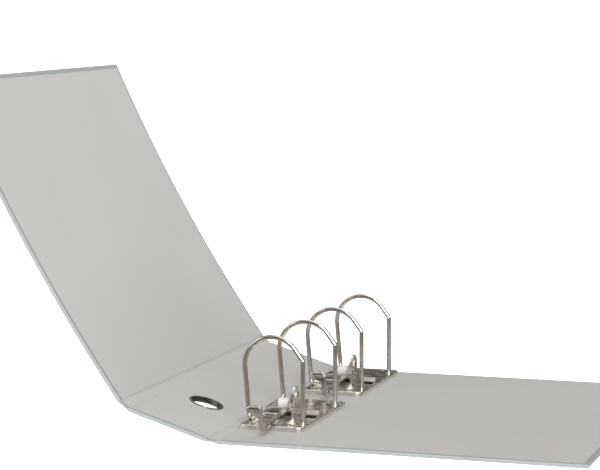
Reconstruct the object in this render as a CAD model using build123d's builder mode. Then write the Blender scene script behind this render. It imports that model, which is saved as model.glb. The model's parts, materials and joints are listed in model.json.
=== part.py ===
"""Lever arch file with two short lever arch mechanisms, lying open on its back cover.

Frame: +Z up, Y along the height of the file with its bottom edge at -Y, X from the hinge
(-X) to the fore edge (+X). The origin is the centre of the back cover's underside.
"""

import os
from math import cos, radians, sin, tan

from build123d import *

os.makedirs("parts", exist_ok=True)

# --- Cover: millimetres and degrees ---------------------------------------------------
FILE_HEIGHT = 320.0
COVER_DEPTH = 277.0
SPINE_WIDTH = 65.5
GROOVE_WIDTH = 8.0
BOARD = 2.0
SKIN = 0.4
WALL = BOARD + 2 * SKIN
GROOVE_SKIN = 0.6
CREASE_GAP = 0.35
TURN_IN = 4.0
CORNER_RADIUS = 1.5

REAR_BEND = 8.6
FRONT_BEND = 21.4
BOW_TURN = 11.0

# --- Finger ring, label and pocket on the spine ---------------------------------------
RING_FROM_BOTTOM = 81.0
RING_HOLE_RADIUS = 12.0
RING_TUBE = 0.6
RING_FLANGE_RADIUS = 14.5
RING_FLANGE = 0.8
RING_ROUND = 0.6
WASHER_RADIUS = 13.8
WASHER = 0.6
POCKET_SIZE = (56.0, 152.0)
POCKET_FILM = 0.3
POCKET_GAP = 0.7
POCKET_SEAM = 1.6
POCKET_CORNER = 1.5
POCKET_FROM_TOP = 12.0
LABEL_SIZE = (52.0, 148.0)
LABEL_THICK = 0.4

# --- Lever arch mechanisms -------------------------------------------------------------
MECHANISM_CENTRES = {"bottom": 100.0 - FILE_HEIGHT / 2, "top": 251.0 - FILE_HEIGHT / 2}
RING_SPACING = 80.0
WIRE_RADIUS = 1.85
PLATE_LEFT = 1.0
PLATE_WIDTH = 51.0
PLATE_LENGTH = 112.0
PLATE_CORNER = 5.0
PLATE_RISE = 3.8
SHEET = 1.0
WINDOW_CORNER = 1.0
EAR_WINDOW_LEFT = 8.5
EAR_WINDOW_MARGIN = 1.0
SIDE_WINDOW = (43.5, -11.5, 12.0, 13.0)
LIP = (9.8, 1.2, 3.0)
LIP_LEAN = 35.0
SHAFT_X = 4.6
SHAFT_LIFT = 2.05
LEG_LEAN = 5.0
POST_X = 47.6
POST_HEIGHT = 54.2
TIP_LEAN = 36.0
TIP_GAP = 0.3
TIP_OVERRUN = 1.5
TIP_CUTTER = (8.0, 5.0)
POST_COLLAR = (2.7, 1.2)
POST_ROUND = 0.3
ARCH_TOP = 71.6
CRANK_X = 22.5
CRANK_ENDS = (-24.0, 1.0)
CRANK_BEND = 3.5
LEG_BEND = 4.5
SADDLE_LENGTH = 7.0
SADDLE_FROM_CENTRE = 31.6
SADDLE_WALL = 1.1
SADDLE_ROOT = 0.5
RUNNING_CLEARANCE = 0.08

PIVOT_Y = -6.0
PIVOT_Z = 21.4
PIN_RADIUS = 2.0
PIN_HEAD = (3.1, 0.8)
PIN_HEAD_SINK = 0.1
PIN_ROUND = 0.35
EAR_X = 29.6
EAR_SHEET = 1.6
EAR_WIDTH = 17.0
EAR_TOP_RADIUS = 7.4
CHEEK_X = 27.9
CHEEK_SHEET = 1.5
CHEEK_PIVOT_RADIUS = 5.6
CHEEK_ROLLER_RADIUS = 4.0
CHEEK_TAIL = (-3.0, -0.6, 1.6)
ROLLER_Y = -11.5
ROLLER_Z = 15.6
ROLLER_RADIUS = 4.5
ROLLER_ENDS = (18.8, 27.5)
ROLLER_PIN_RADIUS = 1.5
ROLLER_PIN_HEAD = (2.6, 0.8)
ROLLER_END_GAP = 0.2
ROLLER_ROUND = 0.8
ARM_WIDTH = 4.6
ARM_SHEET = 1.8
ARM_ROOT = (-17.5, 13.4)
ARM_BEND = (-76.0, 6.2)
ARM_BEND_RADIUS = 3.2
THUMB_TOP = (-81.5, 26.4)
LUG_WIDTH = 9.8
LUG_HEIGHT = 9.0
LUG_CURL = (3.0, 2.6)
LUG_CURL_RADIUS = 1.4

RIVET_PLACES = [(14.0, -49.0), (39.5, -49.0), (14.0, 49.0), (39.5, 49.0)]
RIVET_RADIUS = 2.0
RIVET_HEAD = (4.0, 0.4)
RIVET_CUP_RADIUS = 5.0
RIVET_INNER_HEAD = (3.2, 1.0)
RIVET_ROUND = 0.5

# Extra depth of a cut, so that it goes right through.
CUT_MARGIN = 0.5

# --- Derived places --------------------------------------------------------------------
HINGE_X = -COVER_DEPTH / 2
HALF_HEIGHT = FILE_HEIGHT / 2
CREASE_Z = GROOVE_SKIN
DECK_TOP = WALL + PLATE_RISE
SHAFT_Z = DECK_TOP + SHAFT_LIFT
SPINE_TILT = 2 * REAR_BEND
COVER_TILT = SPINE_TILT + 2 * FRONT_BEND


def along(start, length, tilt):
    """Return the (x, z) reached from start by going length up a panel tilted from -X."""
    x, z = start
    return x - length * cos(radians(tilt)), z + length * sin(radians(tilt))


CREASE_1 = (HINGE_X, CREASE_Z)
CREASE_2 = along(CREASE_1, GROOVE_WIDTH, REAR_BEND)
CREASE_3 = along(CREASE_2, SPINE_WIDTH, SPINE_TILT)
CREASE_4 = along(CREASE_3, GROOVE_WIDTH, SPINE_TILT + FRONT_BEND)


def panel_section(crease, tilt):
    """Section plane at the file's bottom edge: X runs up the panel, Y is its inner side."""
    x, z = crease
    direction = (-cos(radians(tilt)), 0, sin(radians(tilt)))
    return Plane(origin=(x, -HALF_HEIGHT, z), x_dir=direction, z_dir=(0, 1, 0))


BACK_SECTION = Plane(origin=(HINGE_X, HALF_HEIGHT, CREASE_Z), x_dir=(1, 0, 0), z_dir=(0, -1, 0))
REAR_STRIP_SECTION = panel_section(CREASE_1, REAR_BEND)
SPINE_SECTION = panel_section(CREASE_2, SPINE_TILT)
FRONT_STRIP_SECTION = panel_section(CREASE_3, SPINE_TILT + FRONT_BEND)
FRONT_SECTION = panel_section(CREASE_4, COVER_TILT)
OUTSIDE = -CREASE_Z


def export(part, name):
    """Label a finished piece and write it."""
    part.label = name
    export_step(part, f"parts/{name}.step")


def slab(section, near, far, low, high, margin):
    """Flat layer of a panel: near..far up the panel, low..high through its thickness."""
    with BuildPart() as layer:
        with BuildSketch(section.offset(margin)):
            with Locations(((near + far) / 2, (low + high) / 2)):
                Rectangle(far - near, high - low)
        extrude(amount=FILE_HEIGHT - 2 * margin)
    return layer.part


# --- Flat panels: back cover and spine ---------------------------------------------------
def panel_layers(section, depth, fore_lip):
    """Board, covering and lining of a flat panel; the covering turns in over its edges."""
    edge = depth - (SKIN if fore_lip else CREASE_GAP)
    end = depth if fore_lip else depth - CREASE_GAP
    lining_end = depth - TURN_IN if fore_lip else end
    inside = OUTSIDE + WALL
    with BuildPart() as board:
        add(slab(section, CREASE_GAP, edge, OUTSIDE + SKIN, inside - SKIN, SKIN))
        if fore_lip:
            corners = board.edges().filter_by(Axis.Z).group_by(Axis.X)[-1]
            fillet(corners, CORNER_RADIUS - SKIN)
    lining = slab(section, CREASE_GAP, lining_end, inside - SKIN, inside, TURN_IN)
    with BuildPart() as covering:
        add(slab(section, CREASE_GAP, end, OUTSIDE, inside, 0))
        if fore_lip:
            corners = covering.edges().filter_by(Axis.Z).group_by(Axis.X)[-1]
            fillet(corners, CORNER_RADIUS)
        add(board.part, mode=Mode.SUBTRACT)
        add(lining, mode=Mode.SUBTRACT)
    return board.part, covering.part, lining


def rivet_points(centre):
    """The board rivets' places in the file's frame."""
    return [(HINGE_X + x, centre + y) for x, y in RIVET_PLACES]


def drill_rivets(piece, radius, low, high):
    """Cut the rivet holes of both mechanisms through a layer of the back cover."""
    with BuildPart() as drilled:
        add(piece)
        for centre in MECHANISM_CENTRES.values():
            with BuildSketch(Plane.XY.offset(low)):
                with Locations(*rivet_points(centre)):
                    Circle(radius)
            extrude(amount=high - low, mode=Mode.SUBTRACT)
    return drilled.part


back_board, back_covering, back_lining = panel_layers(BACK_SECTION, COVER_DEPTH, True)
back_board = drill_rivets(back_board, RIVET_RADIUS, 0, WALL)
back_lining = drill_rivets(back_lining, RIVET_RADIUS, 0, WALL)
back_covering = drill_rivets(back_covering, RIVET_HEAD[0], 0, SKIN)
export(back_board, "back_cover_board")
export(back_covering, "back_cover_covering")
export(back_lining, "back_cover_lining")

spine_board, spine_covering, spine_lining = panel_layers(SPINE_SECTION, SPINE_WIDTH, False)

SPINE_FACE = Plane(
    origin=(CREASE_2[0], 0, CREASE_2[1]),
    x_dir=SPINE_SECTION.x_dir,
    z_dir=SPINE_SECTION.y_dir,
)
RING_PLACE = (SPINE_WIDTH / 2, HALF_HEIGHT - RING_FROM_BOTTOM)


def cut_ring_hole(piece):
    """Punch the finger ring's hole through a layer of the spine."""
    with BuildPart() as punched:
        add(piece)
        with BuildSketch(SPINE_FACE.offset(OUTSIDE - CUT_MARGIN)):
            with Locations(RING_PLACE):
                Circle(RING_HOLE_RADIUS + RING_TUBE)
        extrude(amount=WALL + 2 * CUT_MARGIN, mode=Mode.SUBTRACT)
    return punched.part


export(cut_ring_hole(spine_board), "spine_board")
export(cut_ring_hole(spine_covering), "spine_covering")
export(cut_ring_hole(spine_lining), "spine_lining")


# --- Front cover: bowed towards the contents ---------------------------------------------
BOW_RADIUS = COVER_DEPTH / 2 / sin(radians(BOW_TURN / 2))
BOW_CENTRE = (COVER_DEPTH / 2, OUTSIDE + BOW_RADIUS * cos(radians(BOW_TURN / 2)))


def bowed_layer(near, far, outer, inner, margin):
    """Curved layer of the front cover, outer..inner being depths below its outside face."""
    first = 270 - BOW_TURN / 2 + BOW_TURN * near / COVER_DEPTH
    sweep_angle = BOW_TURN * (far - near) / COVER_DEPTH
    with BuildPart() as layer:
        with BuildSketch(FRONT_SECTION.offset(margin)):
            with BuildLine():
                outer_arc = CenterArc(BOW_CENTRE, BOW_RADIUS - outer, first, sweep_angle)
                inner_arc = CenterArc(BOW_CENTRE, BOW_RADIUS - inner, first, sweep_angle)
                Line(outer_arc @ 0, inner_arc @ 0)
                Line(outer_arc @ 1, inner_arc @ 1)
            make_face()
        extrude(amount=FILE_HEIGHT - 2 * margin)
    return layer.part


front_board = bowed_layer(CREASE_GAP, COVER_DEPTH - SKIN, SKIN, WALL - SKIN, SKIN)
front_lining = bowed_layer(CREASE_GAP, COVER_DEPTH - TURN_IN, WALL - SKIN, WALL, TURN_IN)
with BuildPart() as front_covering:
    add(bowed_layer(CREASE_GAP, COVER_DEPTH, 0, WALL, 0))
    add(front_board, mode=Mode.SUBTRACT)
    add(front_lining, mode=Mode.SUBTRACT)
export(front_board, "front_cover_board")
export(front_lining, "front_cover_lining")
export(front_covering.part, "front_cover_covering")


# --- Hinge grooves: covering and lining only, with a crease each side ---------------------
for side, section in {"rear": REAR_STRIP_SECTION, "front": FRONT_STRIP_SECTION}.items():
    start, stop = CREASE_GAP, GROOVE_WIDTH - CREASE_GAP
    export(slab(section, start, stop, -GROOVE_SKIN, 0, 0), f"{side}_hinge_covering")
    export(slab(section, start, stop, 0, GROOVE_SKIN, TURN_IN), f"{side}_hinge_lining")


# --- Finger ring: eyelet from outside, washer clenched on the inside ----------------------
with BuildPart() as finger_ring:
    with BuildSketch(SPINE_FACE.offset(OUTSIDE)):
        with Locations(RING_PLACE):
            Circle(RING_HOLE_RADIUS + RING_TUBE)
            Circle(RING_HOLE_RADIUS, mode=Mode.SUBTRACT)
    extrude(amount=WALL + RING_FLANGE)
    with BuildSketch(SPINE_FACE.offset(OUTSIDE)):
        with Locations(RING_PLACE):
            Circle(RING_FLANGE_RADIUS)
            Circle(RING_HOLE_RADIUS, mode=Mode.SUBTRACT)
    extrude(amount=-RING_FLANGE)
    rims = finger_ring.edges().filter_by(GeomType.CIRCLE).sort_by(SortBy.RADIUS)
    fillet(rims[-2:].sort_by(Axis.Z)[0], RING_ROUND)
export(finger_ring.part, "finger_ring")

with BuildPart() as ring_washer:
    with BuildSketch(SPINE_FACE.offset(OUTSIDE + WALL)):
        with Locations(RING_PLACE):
            Circle(WASHER_RADIUS)
            Circle(RING_HOLE_RADIUS + RING_TUBE, mode=Mode.SUBTRACT)
    extrude(amount=WASHER)
export(ring_washer.part, "finger_ring_washer")


# --- Label and its clear pocket, on the outside of the spine -------------------------------
POCKET_PLACE = (SPINE_WIDTH / 2, -HALF_HEIGHT + POCKET_FROM_TOP + POCKET_SIZE[1] / 2)
POCKET_DEPTH = POCKET_GAP + POCKET_FILM

with BuildPart() as label_pocket:
    with BuildSketch(SPINE_FACE.offset(OUTSIDE - POCKET_DEPTH)):
        with Locations(POCKET_PLACE):
            RectangleRounded(*POCKET_SIZE, POCKET_CORNER)
    extrude(amount=POCKET_DEPTH)
    with BuildSketch(SPINE_FACE.offset(OUTSIDE - POCKET_GAP)):
        with Locations((POCKET_PLACE[0], POCKET_PLACE[1] - POCKET_SEAM / 2)):
            Rectangle(POCKET_SIZE[0] - 2 * POCKET_SEAM, POCKET_SIZE[1] - POCKET_SEAM)
    extrude(amount=POCKET_GAP, mode=Mode.SUBTRACT)
export(label_pocket.part, "label_pocket")

with BuildPart() as label_card:
    with BuildSketch(SPINE_FACE.offset(OUTSIDE - (POCKET_GAP + LABEL_THICK) / 2)):
        with Locations(POCKET_PLACE):
            Rectangle(*LABEL_SIZE)
    extrude(amount=LABEL_THICK)
export(label_card.part, "label_card")


# --- Lever arch mechanism -------------------------------------------------------------------
def base_plate(centre):
    """Stamped tray, open below, with the ear for the lever and two saddles for the shaft."""
    at = Plane.XY.offset(WALL)
    middle = (HINGE_X + PLATE_LEFT + PLATE_WIDTH / 2, centre)
    with BuildPart() as plate:
        with BuildSketch(at):
            with Locations(middle):
                RectangleRounded(PLATE_WIDTH, PLATE_LENGTH, PLATE_CORNER)
        extrude(amount=PLATE_RISE)
        fillet(plate.faces().sort_by(Axis.Z)[-1].edges(), SHEET)
        with BuildSketch(at):
            with Locations(middle):
                RectangleRounded(
                    PLATE_WIDTH - 2 * SHEET, PLATE_LENGTH - 2 * SHEET, PLATE_CORNER - SHEET
                )
        extrude(amount=PLATE_RISE - SHEET, mode=Mode.SUBTRACT)
        # Cups pressed down to the board, one for each rivet.
        with BuildSketch(at):
            with Locations(*rivet_points(centre)):
                Circle(RIVET_CUP_RADIUS)
        extrude(amount=PLATE_RISE)
        with BuildSketch(at.offset(SHEET)):
            with Locations(*rivet_points(centre)):
                Circle(RIVET_CUP_RADIUS - SHEET)
        extrude(amount=PLATE_RISE, mode=Mode.SUBTRACT)
        # Openings: one that the ear was bent out of, one beyond it with an upturned lip.
        ear_middle = HINGE_X + (EAR_WINDOW_LEFT + EAR_X) / 2
        ear_size = (EAR_X - EAR_WINDOW_LEFT, EAR_WIDTH + 2 * EAR_WINDOW_MARGIN)
        side_x, side_y, *side_size = SIDE_WINDOW
        windows = [
            ((ear_middle, centre + PIVOT_Y), ear_size),
            ((HINGE_X + side_x, centre + side_y), side_size),
        ]
        for window_middle, window_size in windows:
            with BuildSketch(Plane.XY.offset(DECK_TOP)):
                with Locations(window_middle):
                    RectangleRounded(*window_size, WINDOW_CORNER)
            extrude(amount=-SHEET - CUT_MARGIN, mode=Mode.SUBTRACT)
        # Lip bent up along the window's far side, leaning back.
        lip_root = centre + side_y + side_size[1] / 2
        lip_back = lip_root + LIP[2] * tan(radians(LIP_LEAN))
        with BuildSketch(Plane.YZ.offset(HINGE_X + side_x - LIP[0] / 2)):
            with BuildLine():
                Polyline(
                    (lip_root, DECK_TOP - SHEET),
                    (lip_root + LIP[1], DECK_TOP - SHEET),
                    (lip_back + LIP[1], DECK_TOP + LIP[2]),
                    (lip_back, DECK_TOP + LIP[2]),
                    close=True,
                )
            make_face()
        extrude(amount=LIP[0])
        # Ear for the lever's pin.
        with BuildSketch(Plane.YZ.offset(HINGE_X + EAR_X)):
            with Locations((centre + PIVOT_Y, PIVOT_Z)):
                Circle(EAR_TOP_RADIUS)
            with Locations((centre + PIVOT_Y, DECK_TOP - SHEET / 2)):
                Rectangle(EAR_WIDTH, SHEET)
            make_hull()
            with Locations((centre + PIVOT_Y, PIVOT_Z)):
                Circle(PIN_RADIUS, mode=Mode.SUBTRACT)
        extrude(amount=EAR_SHEET)
        # Saddles that hold the shaft of the arches down.
        for side in (-1, 1):
            start = centre + side * SADDLE_FROM_CENTRE - SADDLE_LENGTH / 2
            section = Plane(origin=(HINGE_X + SHAFT_X, start, SHAFT_Z), x_dir=(-1, 0, 0), z_dir=(0, 1, 0))
            bore = WIRE_RADIUS + RUNNING_CLEARANCE
            with BuildSketch(section):
                Circle(bore + SADDLE_WALL)
                with Locations((0, -(SHAFT_LIFT + SADDLE_ROOT) / 2)):
                    Rectangle(2 * (bore + SADDLE_WALL), SHAFT_LIFT + SADDLE_ROOT)
                Circle(bore, mode=Mode.SUBTRACT)
            extrude(amount=SADDLE_LENGTH)
        for side in (-1, 1):
            with BuildSketch(Plane.XY.offset(DECK_TOP)):
                with Locations((HINGE_X + POST_X, centre + side * RING_SPACING / 2)):
                    Circle(WIRE_RADIUS)
            extrude(amount=-SHEET - CUT_MARGIN, mode=Mode.SUBTRACT)
    return plate.part


MITRE = Plane(
    origin=(HINGE_X + POST_X, 0, POST_HEIGHT),
    x_dir=(cos(radians(TIP_LEAN / 2)), 0, sin(radians(TIP_LEAN / 2))),
    z_dir=(-sin(radians(TIP_LEAN / 2)), 0, cos(radians(TIP_LEAN / 2))),
)


def post(centre):
    """Fixed post, shouldered on the base plate, its top bevelled to meet the arch's tip."""
    place = (HINGE_X + POST_X, centre)
    with BuildPart() as pin:
        with BuildSketch(Plane.XY.offset(WALL)):
            with Locations(place):
                Circle(WIRE_RADIUS)
        extrude(amount=POST_HEIGHT + WIRE_RADIUS - WALL)
        split(bisect_by=MITRE.offset(-TIP_GAP / 2), keep=Keep.BOTTOM)
        with BuildSketch(Plane.XY.offset(DECK_TOP)):
            with Locations(place):
                Circle(POST_COLLAR[0])
        extrude(amount=POST_COLLAR[1])
        fillet(pin.edges().group_by(Axis.Z)[-1], POST_ROUND)
    return pin.part


def arch_circle():
    """Centre and radius of the arch's round, tangent to its leg, its tip and its height."""
    leg = radians(LEG_LEAN)
    tip = radians(TIP_LEAN)
    leg_side = -cos(leg) * SHAFT_X - sin(leg) * SHAFT_Z
    tip_side = cos(tip) * POST_X + sin(tip) * POST_HEIGHT
    # Along each line's outward normal n: n . centre + radius = side; centre z = top - radius.
    a1, b1, c1 = -cos(leg), 1 + sin(leg), leg_side + sin(leg) * ARCH_TOP
    a2, b2, c2 = cos(tip), 1 - sin(tip), tip_side - sin(tip) * ARCH_TOP
    radius = (a1 * c2 - a2 * c1) / (a1 * b2 - a2 * b1)
    return (c1 - b1 * radius) / a1, ARCH_TOP - radius, radius


def arches(centre):
    """Both arches, the shaft and the crank between them, bent from one wire."""
    cx, cz, radius = arch_circle()
    leg = radians(LEG_LEAN)
    tip = radians(TIP_LEAN)

    def place(x, y, z):
        return (HINGE_X + x, centre + y, z)

    half = RING_SPACING / 2
    leg_top = (cx - radius * cos(leg), cz - radius * sin(leg))
    tip_top = (cx + radius * cos(tip), cz + radius * sin(tip))
    tip_end = (POST_X + TIP_OVERRUN * sin(tip), POST_HEIGHT - TIP_OVERRUN * cos(tip))
    with BuildPart() as wire:
        with BuildLine() as path:
            Line(place(tip_end[0], -half, tip_end[1]), place(tip_top[0], -half, tip_top[1]))
            ThreePointArc(
                place(tip_top[0], -half, tip_top[1]),
                place(cx, -half, ARCH_TOP),
                place(leg_top[0], -half, leg_top[1]),
            )
            FilletPolyline(
                place(leg_top[0], -half, leg_top[1]),
                place(SHAFT_X, -half, SHAFT_Z),
                place(SHAFT_X, CRANK_ENDS[0], SHAFT_Z),
                place(CRANK_X, CRANK_ENDS[0], SHAFT_Z),
                place(CRANK_X, CRANK_ENDS[1], SHAFT_Z),
                place(SHAFT_X, CRANK_ENDS[1], SHAFT_Z),
                place(SHAFT_X, half, SHAFT_Z),
                place(leg_top[0], half, leg_top[1]),
                radius=[LEG_BEND] + [CRANK_BEND] * 4 + [LEG_BEND],
            )
            ThreePointArc(
                place(leg_top[0], half, leg_top[1]),
                place(cx, half, ARCH_TOP),
                place(tip_top[0], half, tip_top[1]),
            )
            Line(place(tip_top[0], half, tip_top[1]), place(tip_end[0], half, tip_end[1]))
        with BuildSketch(Plane(origin=path.line @ 0, z_dir=path.line % 0)):
            Circle(WIRE_RADIUS)
        sweep(path=path.line)
        # Bevel both tips to meet the posts.
        with BuildSketch(MITRE.offset(TIP_GAP / 2)):
            for y in (-half, half):
                with Locations((0, centre + y)):
                    Rectangle(TIP_CUTTER[0], TIP_CUTTER[0])
        extrude(amount=-TIP_CUTTER[1], mode=Mode.SUBTRACT)
    return wire.part


def pin_along_x(centre, y, z, start, stop, radius, heads):
    """Rivet lying along X: a shank from start to stop, with a head at each listed end."""
    with BuildPart() as pin:
        with BuildSketch(Plane.YZ.offset(HINGE_X + start)):
            with Locations((centre + y, z)):
                Circle(radius)
        extrude(amount=stop - start)
        for x, (head_radius, head) in heads:
            with BuildSketch(Plane.YZ.offset(HINGE_X + x)):
                with Locations((centre + y, z)):
                    Circle(head_radius)
            extrude(amount=head)
        ends = pin.faces().filter_by(Axis.X).sort_by(Axis.X)
        fillet(ends[0].edges() + ends[-1].edges(), PIN_ROUND)
    return pin.part


def lever(centre):
    """Pressed lever: a cheek on the pin, a low arm and an upturned thumb lug."""
    root = (centre + ARM_ROOT[0], ARM_ROOT[1])
    bend = (centre + ARM_BEND[0], ARM_BEND[1])
    top = (centre + THUMB_TOP[0], THUMB_TOP[1])
    lean = (top[0] - bend[0]) / (top[1] - bend[1])
    near_side = Plane.YZ.offset(HINGE_X + CHEEK_X + CHEEK_SHEET)
    with BuildPart() as piece:
        with BuildSketch(Plane.YZ.offset(HINGE_X + CHEEK_X)):
            with Locations((centre + PIVOT_Y, PIVOT_Z)):
                Circle(CHEEK_PIVOT_RADIUS)
            with Locations((centre + ROLLER_Y, ROLLER_Z)):
                Circle(CHEEK_ROLLER_RADIUS)
            with Locations((root[0] + CHEEK_TAIL[0], root[1] + CHEEK_TAIL[1])):
                Circle(CHEEK_TAIL[2])
            make_hull()
            with Locations((centre + PIVOT_Y, PIVOT_Z)):
                Circle(PIN_RADIUS + RUNNING_CLEARANCE, mode=Mode.SUBTRACT)
            with Locations((centre + ROLLER_Y, ROLLER_Z)):
                Circle(ROLLER_PIN_RADIUS, mode=Mode.SUBTRACT)
        extrude(amount=CHEEK_SHEET)
        with BuildSketch(near_side):
            with BuildLine() as arm_line:
                FilletPolyline(root, bend, top, radius=ARM_BEND_RADIUS)
            trace(arm_line.line, line_width=ARM_SHEET)
        extrude(amount=-ARM_WIDTH)
        with BuildSketch(near_side):
            with BuildLine() as lug_line:
                FilletPolyline(
                    (top[0] - lean * LUG_HEIGHT, top[1] - LUG_HEIGHT),
                    top,
                    (top[0] - LUG_CURL[0], top[1]),
                    (top[0] - LUG_CURL[0], top[1] - LUG_CURL[1]),
                    radius=LUG_CURL_RADIUS,
                )
            trace(lug_line.line, line_width=ARM_SHEET)
        extrude(amount=-LUG_WIDTH)
    return piece.part


def roller(centre):
    """Plastic roller that bears on the crank."""
    with BuildPart() as wheel:
        with BuildSketch(Plane.YZ.offset(HINGE_X + ROLLER_ENDS[0])):
            with Locations((centre + ROLLER_Y, ROLLER_Z)):
                Circle(ROLLER_RADIUS)
                Circle(ROLLER_PIN_RADIUS + RUNNING_CLEARANCE, mode=Mode.SUBTRACT)
        extrude(amount=ROLLER_ENDS[1] - ROLLER_ENDS[0])
        rims = wheel.edges().filter_by(GeomType.CIRCLE).sort_by(SortBy.RADIUS)[-2:]
        fillet(rims, ROLLER_ROUND)
    return wheel.part


def board_rivets(centre):
    """Four rivets that hold the base plate to the back cover, flush with its underside."""
    with BuildPart() as rivets:
        with BuildSketch(Plane.XY):
            with Locations(*rivet_points(centre)):
                Circle(RIVET_HEAD[0])
        extrude(amount=RIVET_HEAD[1])
        with BuildSketch(Plane.XY):
            with Locations(*rivet_points(centre)):
                Circle(RIVET_RADIUS)
        extrude(amount=WALL + SHEET)
        with BuildSketch(Plane.XY.offset(WALL + SHEET)):
            with Locations(*rivet_points(centre)):
                Circle(RIVET_INNER_HEAD[0])
        extrude(amount=RIVET_INNER_HEAD[1])
        fillet(rivets.edges().group_by(Axis.Z)[-1], RIVET_ROUND)
    return rivets.part


for name, centre in MECHANISM_CENTRES.items():
    with BuildPart() as drilled_plate:
        add(base_plate(centre))
        with BuildSketch(Plane.XY.offset(WALL)):
            with Locations(*rivet_points(centre)):
                Circle(RIVET_RADIUS)
        extrude(amount=SHEET, mode=Mode.SUBTRACT)
    export(drilled_plate.part, f"{name}_base_plate")
    export(post(centre - RING_SPACING / 2), f"{name}_lower_post")
    export(post(centre + RING_SPACING / 2), f"{name}_upper_post")
    export(arches(centre), f"{name}_arches")
    export(lever(centre), f"{name}_lever")
    pivot_start = CHEEK_X - PIN_HEAD[1]
    pivot_stop = EAR_X + EAR_SHEET + PIN_HEAD[1]
    pivot_heads = [(pivot_start - PIN_HEAD_SINK, PIN_HEAD), (EAR_X + EAR_SHEET, PIN_HEAD)]
    pivot = pin_along_x(centre, PIVOT_Y, PIVOT_Z, pivot_start, pivot_stop, PIN_RADIUS, pivot_heads)
    export(pivot, f"{name}_lever_pin")
    export(roller(centre), f"{name}_roller")
    axle_start = ROLLER_ENDS[0] - ROLLER_END_GAP - ROLLER_PIN_HEAD[1]
    axle = pin_along_x(
        centre,
        ROLLER_Y,
        ROLLER_Z,
        axle_start,
        CHEEK_X + CHEEK_SHEET,
        ROLLER_PIN_RADIUS,
        [(axle_start, ROLLER_PIN_HEAD)],
    )
    export(axle, f"{name}_roller_pin")
    export(board_rivets(centre), f"{name}_board_rivets")
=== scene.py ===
"""Looks of the lever arch file: the open cover, its two mechanisms, finger ring and label."""

import json
from math import cos, pi, radians, sin

import bmesh
import bpy
from mathutils import Matrix, Vector


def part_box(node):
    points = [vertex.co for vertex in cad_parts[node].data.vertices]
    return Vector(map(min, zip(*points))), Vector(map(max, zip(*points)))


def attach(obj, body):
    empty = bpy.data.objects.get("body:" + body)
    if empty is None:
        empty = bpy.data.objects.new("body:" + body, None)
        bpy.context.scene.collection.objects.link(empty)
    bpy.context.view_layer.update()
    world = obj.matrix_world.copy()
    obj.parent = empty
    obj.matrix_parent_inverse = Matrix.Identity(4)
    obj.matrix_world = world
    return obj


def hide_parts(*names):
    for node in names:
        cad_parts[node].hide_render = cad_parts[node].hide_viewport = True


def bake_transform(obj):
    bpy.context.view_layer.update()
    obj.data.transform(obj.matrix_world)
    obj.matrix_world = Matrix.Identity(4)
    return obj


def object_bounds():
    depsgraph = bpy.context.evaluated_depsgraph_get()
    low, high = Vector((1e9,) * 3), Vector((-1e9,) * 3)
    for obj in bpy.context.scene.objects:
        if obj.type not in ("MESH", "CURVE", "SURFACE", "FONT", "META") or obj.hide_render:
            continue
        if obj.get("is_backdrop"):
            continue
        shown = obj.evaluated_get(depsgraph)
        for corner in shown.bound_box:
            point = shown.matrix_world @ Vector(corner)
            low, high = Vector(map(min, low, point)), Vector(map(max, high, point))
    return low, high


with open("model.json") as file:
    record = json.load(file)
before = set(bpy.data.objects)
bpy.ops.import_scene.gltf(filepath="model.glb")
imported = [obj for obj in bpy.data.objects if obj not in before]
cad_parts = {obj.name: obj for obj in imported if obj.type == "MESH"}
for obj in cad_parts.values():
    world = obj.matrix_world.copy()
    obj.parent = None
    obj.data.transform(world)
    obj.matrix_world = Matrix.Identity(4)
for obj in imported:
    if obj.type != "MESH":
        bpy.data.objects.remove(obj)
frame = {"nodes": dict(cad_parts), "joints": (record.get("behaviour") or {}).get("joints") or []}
cad_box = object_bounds()

MM = 0.001
JOINTS = {joint["name"]: joint for joint in frame["joints"]}

# --- Sizes of the cover's layers --------------------------------------------------------------
WALL = 2.8 * MM
CREASE_DEPTH = 0.6 * MM
BOW_TURN = 11.0
CORNER_RADIUS = 1.5 * MM
TURN_IN = 4.0 * MM
TURN_IN_LEVEL = 2.66 * MM
EDGE_ROUND = 0.95 * MM
EDGE_SQUARENESS = 0.62
EDGE_STEPS = 10
OUTER_BORDER = 8.0 * MM
HINGE_REACH = 4.0 * MM
BLEND_REACH = 2.6 * MM
GROOVE_OUTER = 0.15 * MM
GROOVE_INNER = 1.35 * MM
LINING_SHEET = 0.14 * MM
LINING_BEVEL = 0.06 * MM
LINING_BEVEL_SHARE = 0.6
LINING_CUT = ((LINING_BEVEL, 1.0), (0.0, LINING_BEVEL_SHARE), (0.0, 0.0))
# Past the turn-in's width: where the covering runs on under the lining, and how high it lies.
UNDER_LINING = ((0.6 * MM, 1.0), (0.9 * MM, 0.93))
CORNER_STEPS = 6
STRETCHES_ALONG = 8
STRETCHES_FLAT = 6
STRETCHES_BOWED = 28
SMOOTH_BELOW = 35
STRAIGHT_OUT = 0.999

# Section of a groove: distances from its crease on the panel and on the strip, and heights.
OUTSIDE_PANEL = 0.9 * MM
OUTSIDE_SLOPE = 0.5 * MM
OUTSIDE_SLOPE_SHARE = 0.3
OUTSIDE_FLOOR = 1.8 * MM
INSIDE_PANEL = 1.7 * MM
INSIDE_SLOPE = 0.3 * MM
INSIDE_SLOPE_DROP = 0.7 * MM
INSIDE_FLOOR = 1.6 * MM


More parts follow.
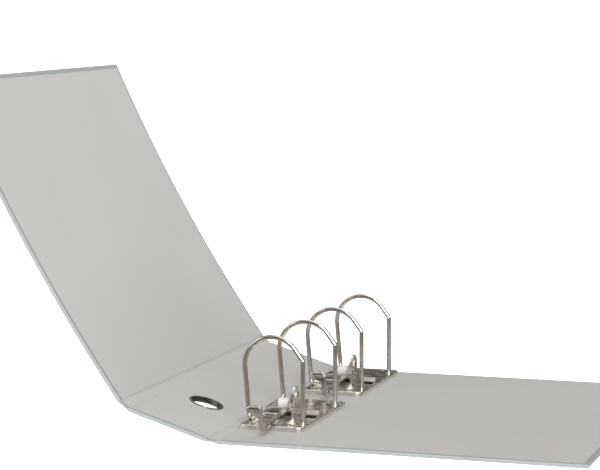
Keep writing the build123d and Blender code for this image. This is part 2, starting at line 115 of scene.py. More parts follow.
# --- Materials --------------------------------------------------------------------------------
class Nodes:
    """Short way to add and join the nodes of one material."""

    def __init__(self, name):
        self.material = bpy.data.materials.new(name)
        self.material.use_nodes = True
        self.tree = self.material.node_tree
        self.shader = self.tree.nodes["Principled BSDF"]

    def add(self, kind, **inputs):
        """Add a node; each keyword sets an input socket to a value or joins it to an output."""
        node = self.tree.nodes.new(kind)
        for key, value in inputs.items():
            self.put(node.inputs[key.replace("_", " ")], value)
        return node

    def put(self, socket, value):
        """Join an output to the socket, or set its value."""
        if isinstance(value, bpy.types.NodeSocket):
            self.tree.links.new(value, socket)
        else:
            socket.default_value = value

    def place(self, source, scale):
        """Texture coordinates from the object or its UV map, scaled."""
        coordinates = self.add("ShaderNodeTexCoord")
        mapping = self.add("ShaderNodeMapping", Vector=coordinates.outputs[source])
        mapping.inputs["Scale"].default_value = scale
        return mapping.outputs["Vector"]

    def noise(self, source, scale, detail=3.0, roughness=0.5):
        """Noise whose grain is set by the coordinates' scale."""
        vector = self.place(source, scale)
        node = self.add("ShaderNodeTexNoise", Vector=vector, Scale=1.0, Detail=detail)
        node.inputs["Roughness"].default_value = roughness
        return node.outputs["Fac"]

    def ramp(self, factor, low, high, dark, light):
        """Colour ramp from dark at low to light at high."""
        node = self.add("ShaderNodeValToRGB", Fac=factor)
        start, stop = node.color_ramp.elements
        start.position, stop.position = low, high
        start.color, stop.color = (*dark, 1), (*light, 1)
        return node.outputs["Color"]

    def range(self, value, low, high, start, stop):
        """Value moved from low..high to start..stop."""
        node = self.add("ShaderNodeMapRange", Value=value)
        node.inputs["From Min"].default_value = low
        node.inputs["From Max"].default_value = high
        node.inputs["To Min"].default_value = start
        node.inputs["To Max"].default_value = stop
        return node.outputs["Result"]

    def math(self, operation, first, second):
        """Math node of two values."""
        node = self.tree.nodes.new("ShaderNodeMath")
        node.operation = operation
        self.put(node.inputs[0], first)
        self.put(node.inputs[1], second)
        return node.outputs[0]

    def mix(self, factor, first, second, blend="MIX"):
        """Mix of two colours."""
        node = self.tree.nodes.new("ShaderNodeMix")
        node.data_type = "RGBA"
        node.blend_type = blend
        self.put(node.inputs[0], factor)
        self.put(node.inputs[6], first)
        self.put(node.inputs[7], second)
        return node.outputs[2]

    def bump(self, height, distance, strength=1.0, normal=None):
        """Bump of that many metres, on top of another normal if there is one."""
        node = self.add("ShaderNodeBump", Height=height, Distance=distance, Strength=strength)
        if normal is not None:
            self.put(node.inputs["Normal"], normal)
        return node.outputs["Normal"]

    def finish(self, **inputs):
        """Set the shader's inputs and return the material."""
        for key, value in inputs.items():
            self.put(self.shader.inputs[key.replace("_", " ")], value)
        return self.material


def linen_material():
    """Grey covering paper embossed with a linen weave."""
    n = Nodes("linen_covering_look")
    across = n.noise("UV", (1150, 70, 1), 2.0, 0.6)
    along = n.noise("UV", (70, 1150, 1), 2.0, 0.6)
    slub_across = n.noise("UV", (420, 22, 1), 2.0)
    slub_along = n.noise("UV", (22, 420, 1), 2.0)
    weave = n.math("MAXIMUM", across, along)
    slubs = n.math("MAXIMUM", slub_across, slub_along)
    height = n.math("ADD", weave, n.math("MULTIPLY", slubs, 0.6))
    cloud = n.noise("UV", (9, 9, 1), 4.0)
    threads = n.math("MULTIPLY", height, 0.62)
    tone = n.ramp(threads, 0.28, 0.66, (0.205, 0.222, 0.226), (0.270, 0.288, 0.290))
    shade = n.ramp(cloud, 0.3, 0.7, (0.95, 0.95, 0.95), (1.03, 1.03, 1.03))
    colour = n.mix(1.0, tone, shade, "MULTIPLY")
    rough = n.range(height, 0.5, 1.2, 0.62, 0.46)
    return n.finish(
        Base_Color=colour,
        Roughness=rough,
        Specular_IOR_Level=0.42,
        Normal=n.bump(height, 0.00009, 0.7),
    )


def lining_material():
    """Smooth uncoated grey paper on the inside."""
    n = Nodes("lining_paper_look")
    cloud = n.noise("UV", (7, 7, 1), 5.0)
    grain = n.noise("UV", (900, 900, 1), 3.0, 0.6)
    fibres = n.noise("UV", (160, 1400, 1), 3.0)
    tone = n.ramp(cloud, 0.3, 0.7, (0.352, 0.350, 0.344), (0.372, 0.370, 0.364))
    speck = n.ramp(grain, 0.35, 0.65, (0.97, 0.97, 0.965), (1.02, 1.02, 1.02))
    colour = n.mix(1.0, tone, speck, "MULTIPLY")
    height = n.math("ADD", grain, n.math("MULTIPLY", fibres, 0.5))
    return n.finish(
        Base_Color=colour,
        Roughness=n.range(grain, 0.3, 0.7, 0.6, 0.74),
        Specular_IOR_Level=0.32,
        Normal=n.bump(height, 0.00003, 0.5),
    )


def metal_material(name, dark, light, rough):
    """Bright plated steel with faint haze, shallow waves and fine drawing marks."""
    n = Nodes(name)
    haze = n.noise("Object", (140, 140, 140), 4.0)
    waves = n.noise("Object", (110, 110, 110), 1.0)
    marks = n.noise("Object", (900, 5200, 900), 2.0, 0.6)
    tone = n.ramp(haze, 0.3, 0.7, dark, light)
    worn = n.range(haze, 0.3, 0.75, rough[0], rough[1])
    return n.finish(
        Base_Color=tone,
        Metallic=1.0,
        Roughness=worn,
        Normal=n.bump(marks, 0.000004, 0.05, normal=n.bump(waves, 0.0002, 0.03)),
    )


def board_material():
    """Raw grey board seen at its cut edges."""
    n = Nodes("grey_board_look")
    layers = n.noise("Object", (120, 120, 2600), 3.0)
    flecks = n.noise("Object", (700, 700, 700), 3.0)
    tone = n.ramp(layers, 0.3, 0.7, (0.33, 0.31, 0.28), (0.45, 0.43, 0.40))
    colour = n.mix(0.3, tone, n.ramp(flecks, 0.4, 0.6, (0.25, 0.24, 0.22), (0.5, 0.48, 0.45)))
    return n.finish(Base_Color=colour, Roughness=0.85, Normal=n.bump(flecks, 0.00005, 0.6))


def nylon_material():
    """White nylon of the rollers, a little scuffed."""
    n = Nodes("white_nylon_look")
    scuffs = n.noise("Object", (900, 2600, 900), 3.0)
    cloud = n.noise("Object", (260, 260, 260), 2.0)
    tone = n.ramp(cloud, 0.3, 0.7, (0.46, 0.46, 0.44), (0.56, 0.56, 0.54))
    return n.finish(
        Base_Color=tone,
        Roughness=n.range(scuffs, 0.35, 0.65, 0.28, 0.45),
        Normal=n.bump(scuffs, 0.00002, 0.3),
    )


def card_material():
    """White uncoated label card."""
    n = Nodes("label_card_look")
    grain = n.noise("Object", (1100, 1100, 1), 3.0, 0.6)
    cloud = n.noise("Object", (14, 14, 1), 3.0)
    tone = n.ramp(cloud, 0.3, 0.7, (0.60, 0.595, 0.60), (0.65, 0.645, 0.65))
    return n.finish(Base_Color=tone, Roughness=0.6, Normal=n.bump(grain, 0.00002, 0.5))


def film_material():
    """Clear polypropylene film of the label pocket."""
    n = Nodes("clear_film_look")
    ripple = n.noise("Object", (60, 20, 1), 2.0)
    haze = n.noise("Object", (300, 300, 1), 3.0)
    tone = n.ramp(haze, 0.3, 0.7, (0.86, 0.88, 0.88), (0.92, 0.94, 0.94))
    return n.finish(
        Base_Color=tone,
        Roughness=n.range(haze, 0.3, 0.7, 0.08, 0.16),
        Alpha=0.16,
        Normal=n.bump(ripple, 0.0003, 0.3),
    )


LINEN = linen_material()
LINING = lining_material()
NICKEL = metal_material("nickel_look", (0.44, 0.41, 0.375), (0.58, 0.55, 0.51), (0.09, 0.2))
# The base plates get a lighter copy of the same plated steel: the lighter tone is painted light,
# standing in for the brighter reflections the flat plates show.
PLATE_PAINTED_LIGHTER = metal_material(
    "plate_painted_lighter_look",
    (0.66, 0.625, 0.575),
    (0.84, 0.805, 0.755),
    (0.2, 0.34),
)
RING = metal_material("ring_look", (0.42, 0.41, 0.40), (0.56, 0.55, 0.54), (0.08, 0.18))
BOARD = board_material()
NYLON = nylon_material()
CARD = card_material()
FILM = film_material()


# --- Mesh helpers -----------------------------------------------------------------------------
def finish_mesh(name, mesh_points, mesh_faces, uvs, material, sharp, hole):
    """Make a smooth-shaded object from points, faces and one UV place for each point.

    hole is empty or a ring of (point, uv) pairs, punched through the last face.
    """
    work = bmesh.new()
    verts = [work.verts.new(point) for point in mesh_points]
    place = dict(zip(verts, uvs))
    faces = []
    for corners in mesh_faces:
        faces.append(work.faces.new([verts[i] for i in corners]))
    if hole:
        edges = list(faces[-1].edges)
        work.faces.remove(faces[-1])
        ring = [work.verts.new(point) for point, _ in hole]
        place.update(zip(ring, [uv for _, uv in hole]))
        edges += [work.edges.new((ring[i - 1], ring[i])) for i in range(len(ring))]
        bmesh.ops.triangle_fill(work, use_beauty=True, edges=edges)
    layer = work.loops.layers.uv.new("UVMap")
    for face in work.faces:
        for loop in face.loops:
            loop[layer].uv = place[loop.vert]
    bmesh.ops.remove_doubles(work, verts=work.verts, dist=1e-6)
    bmesh.ops.recalc_face_normals(work, faces=work.faces)
    mesh = bpy.data.meshes.new(name)
    work.to_mesh(mesh)
    work.free()
    mesh.shade_smooth()
    mesh.set_sharp_from_angle(angle=radians(sharp))
    mesh.materials.append(material)
    piece = bpy.data.objects.new(name, mesh)
    bpy.context.scene.collection.objects.link(piece)
    return piece


class Patch:
    """Points, UV places and faces of one mesh while it is put together."""

    def __init__(self):
        self.points = []
        self.uvs = []
        self.faces = []

    def row(self, places):
        """Add a row of (point, uv) pairs and return its indices."""
        first = len(self.points)
        for point, uv in places:
            self.points.append(point)
            self.uvs.append(uv)
        return list(range(first, len(self.points)))

    def bridge(self, one, other):
        """Quads between two rows of the same length."""
        for i in range(len(one) - 1):
            self.faces.append((one[i], one[i + 1], other[i + 1], other[i]))

    def grid(self, rows):
        """Quads over rows of places."""
        indices = [self.row(places) for places in rows]
        for one, other in zip(indices, indices[1:]):
            self.bridge(one, other)
        return indices

    def build(self, name, material, sharp=SMOOTH_BELOW, hole=()):
        """Make the object, with edges sharper than that many degrees left sharp."""
        return finish_mesh(name, self.points, self.faces, self.uvs, material, sharp, hole)


def steps(start, stop, count):
    """Evenly spaced values from start to stop."""
    return [start + (stop - start) * i / count for i in range(count + 1)]


def cut_corners(points, times=3):
    """Round off an open line of 2-D points, its ends kept, by cutting each corner a few times."""
    for _ in range(times):
        rounded = [points[0]]
        for a, b in zip(points, points[1:]):
            rounded += [a * 0.75 + b * 0.25, a * 0.25 + b * 0.75]
        points = rounded + [points[-1]]
    return points


# --- The cover's panels -----------------------------------------------------------------------
def crease(name):
    """(x, z) of a crease, from its joint."""
    x, _, z = JOINTS[name]["pos_m"]
    return Vector((x, z))


CREASES = [
    crease("rear_inner_crease"),
    crease("rear_outer_crease"),
    crease("front_inner_crease"),
    crease("front_outer_crease"),
]
COVER_LOW, COVER_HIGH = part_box("back_cover_covering")
HALF = (COVER_HIGH.y - COVER_LOW.y) / 2
DEPTH = COVER_HIGH.x - CREASES[0].x


class Panel:
    """Section of a panel: u runs away from its crease, t inwards from its outside face."""

    def __init__(self, origin, direction, side, s_start, s_sign, bow=0.0):
        self.origin = origin
        self.direction = direction.normalized()
        self.normal = Vector((self.direction.y, -self.direction.x)) * side
        self.s_start = s_start
        self.s_sign = s_sign
        self.bow = radians(bow)

    def section(self, u, t):
        """(x, z) at u along the panel and t above its outside face."""
        if not self.bow:
            return self.origin + self.direction * u + self.normal * (t - CREASE_DEPTH)
        radius = DEPTH / 2 / sin(self.bow / 2)
        angle = -pi / 2 + self.bow * (u / DEPTH - 0.5)
        across = DEPTH / 2 + (radius - t) * cos(angle)
        height = radius * cos(self.bow / 2) + (radius - t) * sin(angle) - CREASE_DEPTH
        return self.origin + self.direction * across + self.normal * height

    def place(self, u, y, t, uv=None):
        """(point, uv) at that place of the panel."""
        x, z = self.section(u, t)
        flat = (self.s_start + self.s_sign * u, y) if uv is None else uv
        return (x, y, z), flat


# The front cover turns from its groove by as much as the groove turns from the spine.
turn_direction = CREASES[3] - CREASES[2]
spine_direction = CREASES[2] - CREASES[1]
front_angle = spine_direction.angle_signed(turn_direction)
cover_direction = turn_direction.copy()
cover_direction.rotate(Matrix.Rotation(-front_angle, 2))
GROOVE = (CREASES[1] - CREASES[0]).length
SPINE = spine_direction.length
BACK_PANEL = Panel(CREASES[0], Vector((1, 0)), -1, 0, -1)
REAR_STRIP = Panel(CREASES[0], CREASES[1] - CREASES[0], 1, 0, 1)
SPINE_PANEL = Panel(CREASES[1], spine_direction, 1, GROOVE, 1)
FRONT_STRIP = Panel(CREASES[2], turn_direction, 1, GROOVE + SPINE, 1)
FRONT_PANEL = Panel(CREASES[3], cover_direction, 1, 2 * GROOVE + SPINE, 1, BOW_TURN)


def edge_profile():
    """(inset, share of the thickness, run) from the outside face round an edge to the turn-in."""
    places = [(OUTER_BORDER, 0.0)]
    for i in range(EDGE_STEPS + 1):
        angle = pi * i / EDGE_STEPS
        rise = cos(angle)
        share = (1 - (1 if rise > 0 else -1) * abs(rise) ** EDGE_SQUARENESS) / 2
        places.append((EDGE_ROUND * (1 - sin(angle) ** EDGE_SQUARENESS), share))
    places += [(TURN_IN + past, share) for past, share in UNDER_LINING]
    run = -OUTER_BORDER
    profile = [(*places[0], run)]
    for (a, b), (c, d) in zip(places, places[1:]):
        run += ((c - a) ** 2 + ((d - b) * WALL) ** 2) ** 0.5
        profile.append((c, d, run))
    return profile


PROFILE = edge_profile()


def covering_panel(name, panel, divisions):
    """Covering of a cover panel: its outside face, wrapped over three edges."""
    far, side = DEPTH - CORNER_RADIUS, HALF - CORNER_RADIUS
    runs = steps(HINGE_REACH, far, divisions)
    lines = steps(-side, side, STRETCHES_ALONG)
    turns = [pi / 2 * i / CORNER_STEPS for i in range(1, CORNER_STEPS)]
    # Feet on the corner arcs' centre line, and the direction outwards from each.
    outline = [((u, -side), (0, -1)) for u in runs]
    outline += [((far, -side), (sin(angle), -cos(angle))) for angle in turns]
    outline += [((far, y), (1, 0)) for y in lines]
    outline += [((far, side), (cos(angle), sin(angle))) for angle in turns]
    outline += [((u, side), (0, 1)) for u in reversed(runs)]

    def at(foot, out, inset, share, run):
        """(point, uv) of one step of the edge's profile."""
        reach = CORNER_RADIUS - inset if inset < CORNER_RADIUS else 0
        u = foot[0] + out[0] * reach
        y = foot[1] + out[1] * reach
        if inset > CORNER_RADIUS:
            u = min(u - (inset - CORNER_RADIUS) * (out[0] > STRAIGHT_OUT), DEPTH - inset)
            y = max(-HALF + inset, min(HALF - inset, y))
            if abs(out[1]) > STRAIGHT_OUT:
                y = out[1] * (HALF - inset)
        s = foot[0] + out[0] * (CORNER_RADIUS + run)
        v = foot[1] + out[1] * (CORNER_RADIUS + run)
        uv = (panel.s_start + panel.s_sign * s, v)
        return panel.place(u, y, share * TURN_IN_LEVEL, uv)

    patch = Patch()
    patch.grid([[at(foot, out, *step) for step in PROFILE] for foot, out in outline])
    us = [min(u, DEPTH - OUTER_BORDER) for u in runs]
    ys = [max(-HALF + OUTER_BORDER, min(HALF - OUTER_BORDER, y)) for y in lines]
    patch.grid([[panel.place(u, y, 0) for y in ys] for u in us])
    return patch.build(name, LINEN)


def covering_band(name, stations, hole=()):
    """Covering over a stretch with only its top and bottom edges wrapped."""
    patch = Patch()
    rows = []
    for s, outer, inner in stations:
        row = []
        for end in (-1, 1):
            part = []
            for inset, share, run in PROFILE:
                x, z = outer.lerp(inner, share)
                part.append(((x, end * (HALF - inset), z), (s, end * (HALF + run))))
            row += part[::-1] if end < 0 else part
        rows.append(row)
    return holed_grid(patch, rows, len(PROFILE), hole).build(name, LINEN, hole=hole)


def holed_grid(patch, rows, middle, hole):
    """Add rows to a patch; with a hole, one face stands between the columns at the middle."""
    if not hole:
        patch.grid(rows)
        return patch
    low = patch.grid([row[:middle] for row in rows])
    high = patch.grid([row[middle:] for row in rows])
    patch.faces.append((low[0][-1], high[0][0], high[-1][0], low[-1][-1]))
    return patch


def lining_sheet(name, stations, hole=()):
    """Lining over stations of (uv s, base point, top point, share of the thickness there)."""
    patch = Patch()
    half = HALF - TURN_IN
    across = [(-half + inset, height) for inset, height in reversed(LINING_CUT)]
    across += [(half - inset, height) for inset, height in LINING_CUT]
    rows = []
    for s, base, top, share in stations:
        row = []
        for y, height in across:
            x, z = base.lerp(top, min(height, share))
            row.append(((x, y, z), (s, y)))
        rows.append(row)
    return holed_grid(patch, rows, len(LINING_CUT), hole).build(name, LINING, hole=hole)


def flat_stations(panel, us):
    """Outer and inner points of the covering at each u of a panel."""
    return [
        (panel.s_start + panel.s_sign * u, panel.section(u, 0), panel.section(u, TURN_IN_LEVEL))
        for u in us
    ]


def groove_half(panel, strip, from_start):
    """Section lines of half a groove: outside, turned-in face and top of the lining.

    They run from the panel to the middle of the strip between the creases.
    """

    def on_strip(distance, height):
        """Point of the strip's section at that distance from the crease."""
        u = distance if from_start else GROOVE - distance
        return strip.section(u, CREASE_DEPTH + height)

    outside = [
        panel.section(HINGE_REACH, 0),
        panel.section(OUTSIDE_PANEL, 0),
        on_strip(OUTSIDE_SLOPE, GROOVE_OUTER * OUTSIDE_SLOPE_SHARE),
        on_strip(OUTSIDE_FLOOR, GROOVE_OUTER),
        on_strip(GROOVE / 2, GROOVE_OUTER),
    ]
    lines = [cut_corners(outside)]
    for extra in (0.0, LINING_SHEET):
        level = TURN_IN_LEVEL + extra
        bottom = GROOVE_INNER + extra
        inside = [
            panel.section(HINGE_REACH, level),
            panel.section(INSIDE_PANEL, level),
            panel.section(INSIDE_SLOPE, level - INSIDE_SLOPE_DROP),
            on_strip(INSIDE_FLOOR, bottom),
            on_strip(GROOVE / 2, bottom),
        ]
        lines.append(cut_corners(inside))
    return lines


def hinge_pieces(side, panel, strip, other, bodies):
    """Covering and lining over a groove, each in two halves."""
    halves = [("inner", panel, bodies[:2]), ("outer", other, bodies[1:])]
    pieces = {"covering": [], "lining": []}
    for half, plate, (first, second) in halves:
        from_start = half == "inner"
        outside, turned, top = groove_half(plate, strip, from_start)
        s_panel = plate.s_start + plate.s_sign * HINGE_REACH
        ss = steps(s_panel, strip.s_start + GROOVE / 2, len(outside) - 1)
        covering = covering_band(f"{side}_hinge_{half}_covering", list(zip(ss, outside, turned)))
        under = [a.lerp(b, -2.0) for a, b in zip(turned, top)]
        sheet = [(s, a, b, 1.0) for s, a, b in zip(ss, under, top)]
        lining = lining_sheet(f"{side}_hinge_{half}_lining", sheet)
        on_panel = plate.section(BLEND_REACH, WALL / 2)
        on_strip = strip.section(BLEND_REACH if from_start else GROOVE - BLEND_REACH, CREASE_DEPTH)
        for kind, piece in (("covering", covering), ("lining", lining)):
            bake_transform(piece)
            pieces[kind].append(piece)
    for kind, both in pieces.items():
        for piece in both:
            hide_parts(f"{side}_hinge_{kind}")


class Turned:
    """A panel seen from its far side, so that a groove can start there."""

    def __init__(self, panel, length):
        self.panel = panel
        self.length = length
        self.s_start = panel.s_start + panel.s_sign * length
        self.s_sign = -panel.s_sign

    def section(self, u, t):
        """(x, z) at u from the far side."""
        return self.panel.section(self.length - u, t)


def panel_lining(name, panel, us, fore_edge, hole=()):
    """Lining of a rigid panel, its fore edge cut if it has one."""
    places = [(u, 1.0) for u in us]
    if fore_edge:
        end = DEPTH - TURN_IN
        places = [(min(u, end - LINING_BEVEL), 1.0) for u in us]
        places += [(end, LINING_BEVEL_SHARE), (end, 0.0)]
    stations = []
    for u, share in places:
        base = panel.section(u, TURN_IN_LEVEL - 2 * LINING_SHEET)
        top = panel.section(u, TURN_IN_LEVEL + LINING_SHEET)
        stations.append((panel.s_start + panel.s_sign * u, base, top, share))
    return lining_sheet(name, stations, hole=hole)


def keep(piece, body, slot, *nodes):
    """Let a new piece ride on a body and stand for the CAD nodes."""
    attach(piece, body)
    if nodes:
        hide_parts(*nodes)
    return piece


ring_low, ring_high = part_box("finger_ring")
RING_Y = (ring_low.y + ring_high.y) / 2
RING_U = SPINE / 2
RING_HOLE = 12.6 * MM
RING_SIDES = 64


def ring_hole(t):
    """Outline of the finger ring's hole at height t of the spine."""
    outline = []
    for i in range(RING_SIDES):
        angle = 2 * pi * i / RING_SIDES
        u = RING_U + RING_HOLE * cos(angle)
        outline.append(SPINE_PANEL.place(u, RING_Y + RING_HOLE * sin(angle), t))
    return outline


keep(
    covering_panel("back_covering", BACK_PANEL, STRETCHES_FLAT),
    "back_cover",
    "linen_covering",
    "back_cover_covering",
)
keep(
    covering_panel("front_covering", FRONT_PANEL, STRETCHES_BOWED),
    "front_cover",
    "linen_covering",
    "front_cover_covering",
)
spine_us = (HINGE_REACH, SPINE - HINGE_REACH)
keep(
    covering_band(
        "spine_covering_wrap",
        flat_stations(SPINE_PANEL, spine_us),
        ring_hole(0.0),
    ),
    "spine",
    "linen_covering",
    "spine_covering",
)
keep(
    panel_lining("back_lining", BACK_PANEL, (HINGE_REACH, DEPTH), True),
    "back_cover",
    "lining_paper",
    "back_cover_lining",
)
front_us = steps(HINGE_REACH, DEPTH - TURN_IN, STRETCHES_BOWED)
keep(
    panel_lining("front_lining", FRONT_PANEL, front_us, True),
    "front_cover",
    "lining_paper",
    "front_cover_lining",
)
keep(
    panel_lining(
        "spine_lining_sheet",
        SPINE_PANEL,
        spine_us,
        False,
        ring_hole(TURN_IN_LEVEL + LINING_SHEET),
    ),
    "spine",
    "lining_paper",
    "spine_lining",
)
hinge_pieces("rear", BACK_PANEL, REAR_STRIP, SPINE_PANEL, ("back_cover", "rear_hinge", "spine"))
hinge_pieces(
    "front",
    Turned(SPINE_PANEL, SPINE),
    FRONT_STRIP,
    FRONT_PANEL,
    ("spine", "front_hinge", "front_cover"),
)

# --- Levers: a flat cheek on the pin, a troughed arm and a curled thumb lug -------------------
LEVER_SHEET = 1.4 * MM
CHEEK_SHEET = 1.5 * MM
CHEEK_ROUND = 0.3 * MM
CHEEK_PIVOT_RADIUS = 5.6 * MM
CHEEK_AXLE_RADIUS = 4.0 * MM
CHEEK_TAIL = Vector((-14.6, -8.6)) * MM
CHEEK_TAIL_RADIUS = 1.7 * MM
ARM_WIDTH = 4.6 * MM
ARM_CROWN = 1.1 * MM
ARM_CROWN_START = (0.02, 0.2)
ARM_ACROSS = 10
ARM_STEP = 0.8 * MM
ARM_CORNER_CUTS = 4
ARM_GRAIN = 0.1
LUG_CROWN_LOSS = 0.75
EDGE_THINNING = 0.55
EDGE_POWER = 8
LEVER_SMOOTH_BELOW = 40
# The arm's line from the pin, along Y and up, in millimetres.
FROM_PIVOT = {
    "root": (-9.5, -8.2),
    "neck": (-16.0, -9.0),
    "arm end": (-63.5, -14.6),
    "bend": (-69.0, -15.2),
    "upright": (-70.6, -9.8),
    "upright end": (-75.0, 3.2),
    "top": (-75.6, 5.0),
    "curl": (-78.5, 5.0),
    "tip": (-78.5, 2.4),
}
LUG_START = 0.832
LUG_END = 0.85


def spread(points, spacing):
    """Points at even spacing along an open 2-D line."""
    spaced = [points[0]]
    left = spacing
    for a, b in zip(points, points[1:]):
        run = (b - a).length
        while run >= left:
            a = a + (b - a).normalized() * left
            spaced.append(a)
            run = (b - a).length
            left = spacing
        left -= run
    if (points[-1] - spaced[-1]).length > spacing / 4:
        spaced.append(points[-1])
    return spaced


def smooth_step(value, low, high):
    """0 below low, 1 above high and smooth between them."""
    t = max(0.0, min(1.0, (value - low) / (high - low)))
    return t * t * (3 - 2 * t)


def hull(points):
    """Convex outline round 2-D points, anticlockwise."""
    ordered = sorted((p.x, p.y) for p in points)
    chains = []
    for run in (ordered, ordered[::-1]):
        chain = []
        for p in run:
            while len(chain) > 1:
                (ax, ay), (bx, by) = chain[-2], chain[-1]
                if (bx - ax) * (p[1] - ay) - (by - ay) * (p[0] - ax) > 0:
                    break
                chain.pop()
            chain.append(p)
        chains += chain[:-1]
    return [Vector(p) for p in chains]


def circle(centre, radius, count=28):
    """Points round a 2-D circle."""
    return [
        centre + Vector((cos(2 * pi * i / count), sin(2 * pi * i / count))) * radius
        for i in range(count)
    ]


def cheek(patch, pivot, axle, x_low, x_high):
    """Flat end of the lever, round the pin and the roller's axle, with eased edges."""
    outlines = []
    for inset in (CHEEK_ROUND, 0.0):
        shapes = circle(pivot, CHEEK_PIVOT_RADIUS - inset)
        shapes += circle(axle, CHEEK_AXLE_RADIUS - inset)
        shapes += circle(pivot + CHEEK_TAIL, CHEEK_TAIL_RADIUS - inset)
        outlines.append(hull(shapes))
    inner, outer = outlines
    layers = [(inner, x_low), (outer, x_low + CHEEK_ROUND)]
    layers += [(outer, x_high - CHEEK_ROUND), (inner, x_high)]
    rows = []
    for outline, x in layers:
        row = [((x, p.x, p.y), (p.x, p.y)) for p in outline]
        rows.append(patch.row(row + row[:1]))
    for one, other in zip(rows, rows[1:]):
        patch.bridge(one, other)
    patch.faces.append(tuple(rows[0][:-1]))
    patch.faces.append(tuple(rows[-1][:-1]))


def lever_piece(name):
    """Lever of one mechanism."""
    _, y, z = JOINTS[f"{name}_lever_swing"]["pos_m"]
    _, axle_y, axle_z = JOINTS[f"{name}_roller_spin"]["pos_m"]
    low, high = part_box(f"{name}_lever")
    pivot = Vector((y, z))
    patch = Patch()
    cheek(patch, pivot, Vector((axle_y, axle_z)), high.x - CHEEK_SHEET, high.x)
    line = [pivot + Vector(place) * MM for place in FROM_PIVOT.values()]
    path = spread(cut_corners(line, ARM_CORNER_CUTS), ARM_STEP)
    count = len(path)
    arm_left = high.x - ARM_WIDTH
    rows = []
    for i, centre in enumerate(path):
        ahead = path[min(i + 1, count - 1)] - path[max(i - 1, 0)]
        out = Vector((ahead.y, -ahead.x)).normalized()
        share = i / (count - 1)
        widening = smooth_step(share, LUG_START, LUG_END)
        left = arm_left + (low.x - arm_left) * widening
        crown = ARM_CROWN * smooth_step(share, *ARM_CROWN_START)
        crown *= 1 - LUG_CROWN_LOSS * widening
        front, back = [], []
        for j in range(ARM_ACROSS + 1):
            t = j / ARM_ACROSS
            across = 2 * t - 1
            ease = 1 - (1 - abs(across) ** EDGE_POWER) ** 0.5
            sink = crown * across * across
            x = left + (high.x - left) * t
            half = LEVER_SHEET / 2 * (1 - EDGE_THINNING * ease)
            for side, face in ((1, front), (-1, back)):
                p = centre + out * (side * half + sink)
                face.append(((x, p.x, p.y), (x, share * ARM_GRAIN)))
        loop = front + back[::-1]
        rows.append(loop + loop[:1])
    indices = patch.grid(rows)
    patch.faces.append(tuple(indices[0][:-1]))
    patch.faces.append(tuple(indices[-1][:-1]))
    return patch.build(f"{name}_lever_pressing", NICKEL, LEVER_SMOOTH_BELOW)


for mechanism in ("bottom", "top"):
    keep(lever_piece(mechanism), f"{mechanism}_lever", "nickel_steel", f"{mechanism}_lever")

# --- CAD nodes that stay ----------------------------------------------------------------------
for name, node in frame["nodes"].items():
    if node.hide_render:
        continue
    if name.endswith("_board"):
        look = BOARD
    elif name.startswith("finger_ring"):
        look = RING
    elif name == "label_card":
        look = CARD
    elif name == "label_pocket":
        look = FILM
    elif name.endswith("_roller"):
        look = NYLON
    elif name.endswith("_base_plate"):
        # Lighter copy of the plated steel: painted light for the plates' brighter reflections.
        look = PLATE_PAINTED_LIGHTER
    else:
        look = NICKEL
    node.data.materials.clear()
    node.data.materials.append(look)

# --- Stage: floor, lights and camera ----------------------------------------------------------
FLOOR_REACH = 12.0
FLOOR_LEVEL = -0.4 * MM
floor_mesh = bpy.data.meshes.new("floor")
floor_corners = [(-1, -1), (1, -1), (1, 1), (-1, 1)]
floor_points = [(x * FLOOR_REACH, y * FLOOR_REACH, FLOOR_LEVEL) for x, y in floor_corners]
floor_mesh.from_pydata(floor_points, [], [(0, 1, 2, 3)])
floor = bpy.data.objects.new("floor", floor_mesh)
bpy.context.scene.collection.objects.link(floor)
# Overexposed to white, but darker where the metal mirrors it, like a table among dark walls.
floor_nodes = Nodes("floor_look")
mirrored = floor_nodes.add("ShaderNodeLightPath").outputs["Is Glossy Ray"]
floor_look = floor_nodes.finish(
    Base_Color=floor_nodes.mix(mirrored, (0.95, 0.95, 0.95, 1), (0.26, 0.24, 0.215, 1)),
    Roughness=0.9,
    Specular_IOR_Level=0.0,
    Emission_Color=(1, 1, 1, 1),
    Emission_Strength=floor_nodes.range(mirrored, 0.0, 1.0, 0.85, 0.0),
)
floor_mesh.materials.append(floor_look)
floor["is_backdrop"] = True


def area_light(name, place, target, size, power):
    """White rectangular soft box at place, facing target."""
    data = bpy.data.lights.new(name, "AREA")
    data.shape = "RECTANGLE"
    data.size, data.size_y = size
    data.energy = power
    light = bpy.data.objects.new(name, data)
    light.location = place
    light.rotation_euler = (Vector(target) - Vector(place)).to_track_quat("-Z", "Y").to_euler()
    bpy.context.scene.collection.objects.link(light)


area_light("soft_top", (0.1, 0.2, 2.0), (-0.05, 0, 0), (1.6, 1.2), 12)
area_light("soft_front", (0.9, -2.3, 1.0), (-0.1, 0, 0.08), (1.8, 1.1), 34)
area_light("soft_left", (-1.9, -1.5, 1.1), (-0.1, 0, 0.1), (0.8, 1.3), 12)

KEY_FROM = Vector((0.55, -0.85, 0.62))
sun_data = bpy.data.lights.new("broad_key", "SUN")
sun_data.energy = 2.1
sun_data.angle = radians(40)
sun = bpy.data.objects.new("broad_key", sun_data)
sun.rotation_euler = (-KEY_FROM).to_track_quat("-Z", "Y").to_euler()
bpy.context.scene.collection.objects.link(sun)

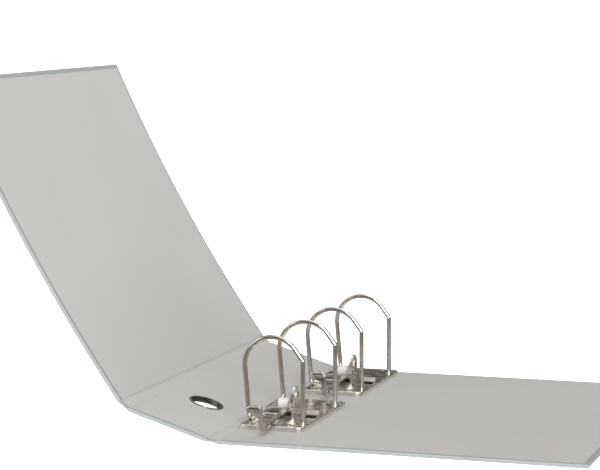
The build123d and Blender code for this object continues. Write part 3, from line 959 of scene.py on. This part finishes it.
# The room: dark warm walls below a bright ceiling, and plain white where the camera sees it.
WALLS = (0.22, (0.07, 0.057, 0.046, 1))
CEILING = (0.9, (1.0, 0.98, 0.95, 1))
ROOM_STRENGTH = 0.8
SEEN_STRENGTH = 1.05
world = bpy.data.worlds.new("studio")
bpy.context.scene.world = world
world.use_nodes = True
tree = world.node_tree
room = tree.nodes["Background"]
room.inputs["Strength"].default_value = ROOM_STRENGTH
direction = tree.nodes.new("ShaderNodeTexCoord")
height = tree.nodes.new("ShaderNodeSeparateXYZ")
tones = tree.nodes.new("ShaderNodeValToRGB")
tree.links.new(direction.outputs["Generated"], height.inputs[0])
tree.links.new(height.outputs["Z"], tones.inputs[0])
tree.links.new(tones.outputs["Color"], room.inputs["Color"])
for element, (position, colour) in zip(tones.color_ramp.elements, (WALLS, CEILING)):
    element.position = position
    element.color = colour
seen = tree.nodes.new("ShaderNodeBackground")
seen.inputs["Color"].default_value = (1, 1, 1, 1)
seen.inputs["Strength"].default_value = SEEN_STRENGTH
rays = tree.nodes.new("ShaderNodeLightPath")
choose = tree.nodes.new("ShaderNodeMixShader")
tree.links.new(rays.outputs["Is Camera Ray"], choose.inputs[0])
tree.links.new(room.outputs[0], choose.inputs[1])
tree.links.new(seen.outputs[0], choose.inputs[2])
tree.links.new(choose.outputs[0], tree.nodes["World Output"].inputs["Surface"])

CAMERA_PLACE = (0.4246, -1.6362, 0.3325)
CAMERA_YAW = radians(18.61)
CAMERA_PITCH = radians(6.43)
CAMERA_ROLL = radians(-0.25)
CAMERA_LENS = 130.98
camera_data = bpy.data.cameras.new("camera")
camera_data.sensor_width = 36.0
camera_data.lens = CAMERA_LENS
camera_data.clip_end = 50.0
camera = bpy.data.objects.new("camera", camera_data)
forward = Vector(
    (-sin(CAMERA_YAW) * cos(CAMERA_PITCH), cos(CAMERA_YAW) * cos(CAMERA_PITCH), -sin(CAMERA_PITCH))
)
right = Vector((cos(CAMERA_YAW), sin(CAMERA_YAW), 0))
up = right.cross(forward)
rolled_right = right * cos(CAMERA_ROLL) + up * sin(CAMERA_ROLL)
rolled_up = up * cos(CAMERA_ROLL) - right * sin(CAMERA_ROLL)
camera.matrix_world = Matrix(
    (
        (rolled_right.x, rolled_up.x, -forward.x, CAMERA_PLACE[0]),
        (rolled_right.y, rolled_up.y, -forward.y, CAMERA_PLACE[1]),
        (rolled_right.z, rolled_up.z, -forward.z, CAMERA_PLACE[2]),
        (0, 0, 0, 1),
    )
)
bpy.context.scene.collection.objects.link(camera)
bpy.context.scene.camera = camera
bpy.context.scene.view_settings.view_transform = "Standard"

bpy.context.view_layer.update()
visual_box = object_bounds()
boxes = {"cad": cad_box, "visual": visual_box}
{key: [list(corner) for corner in box] for key, box in boxes.items()}
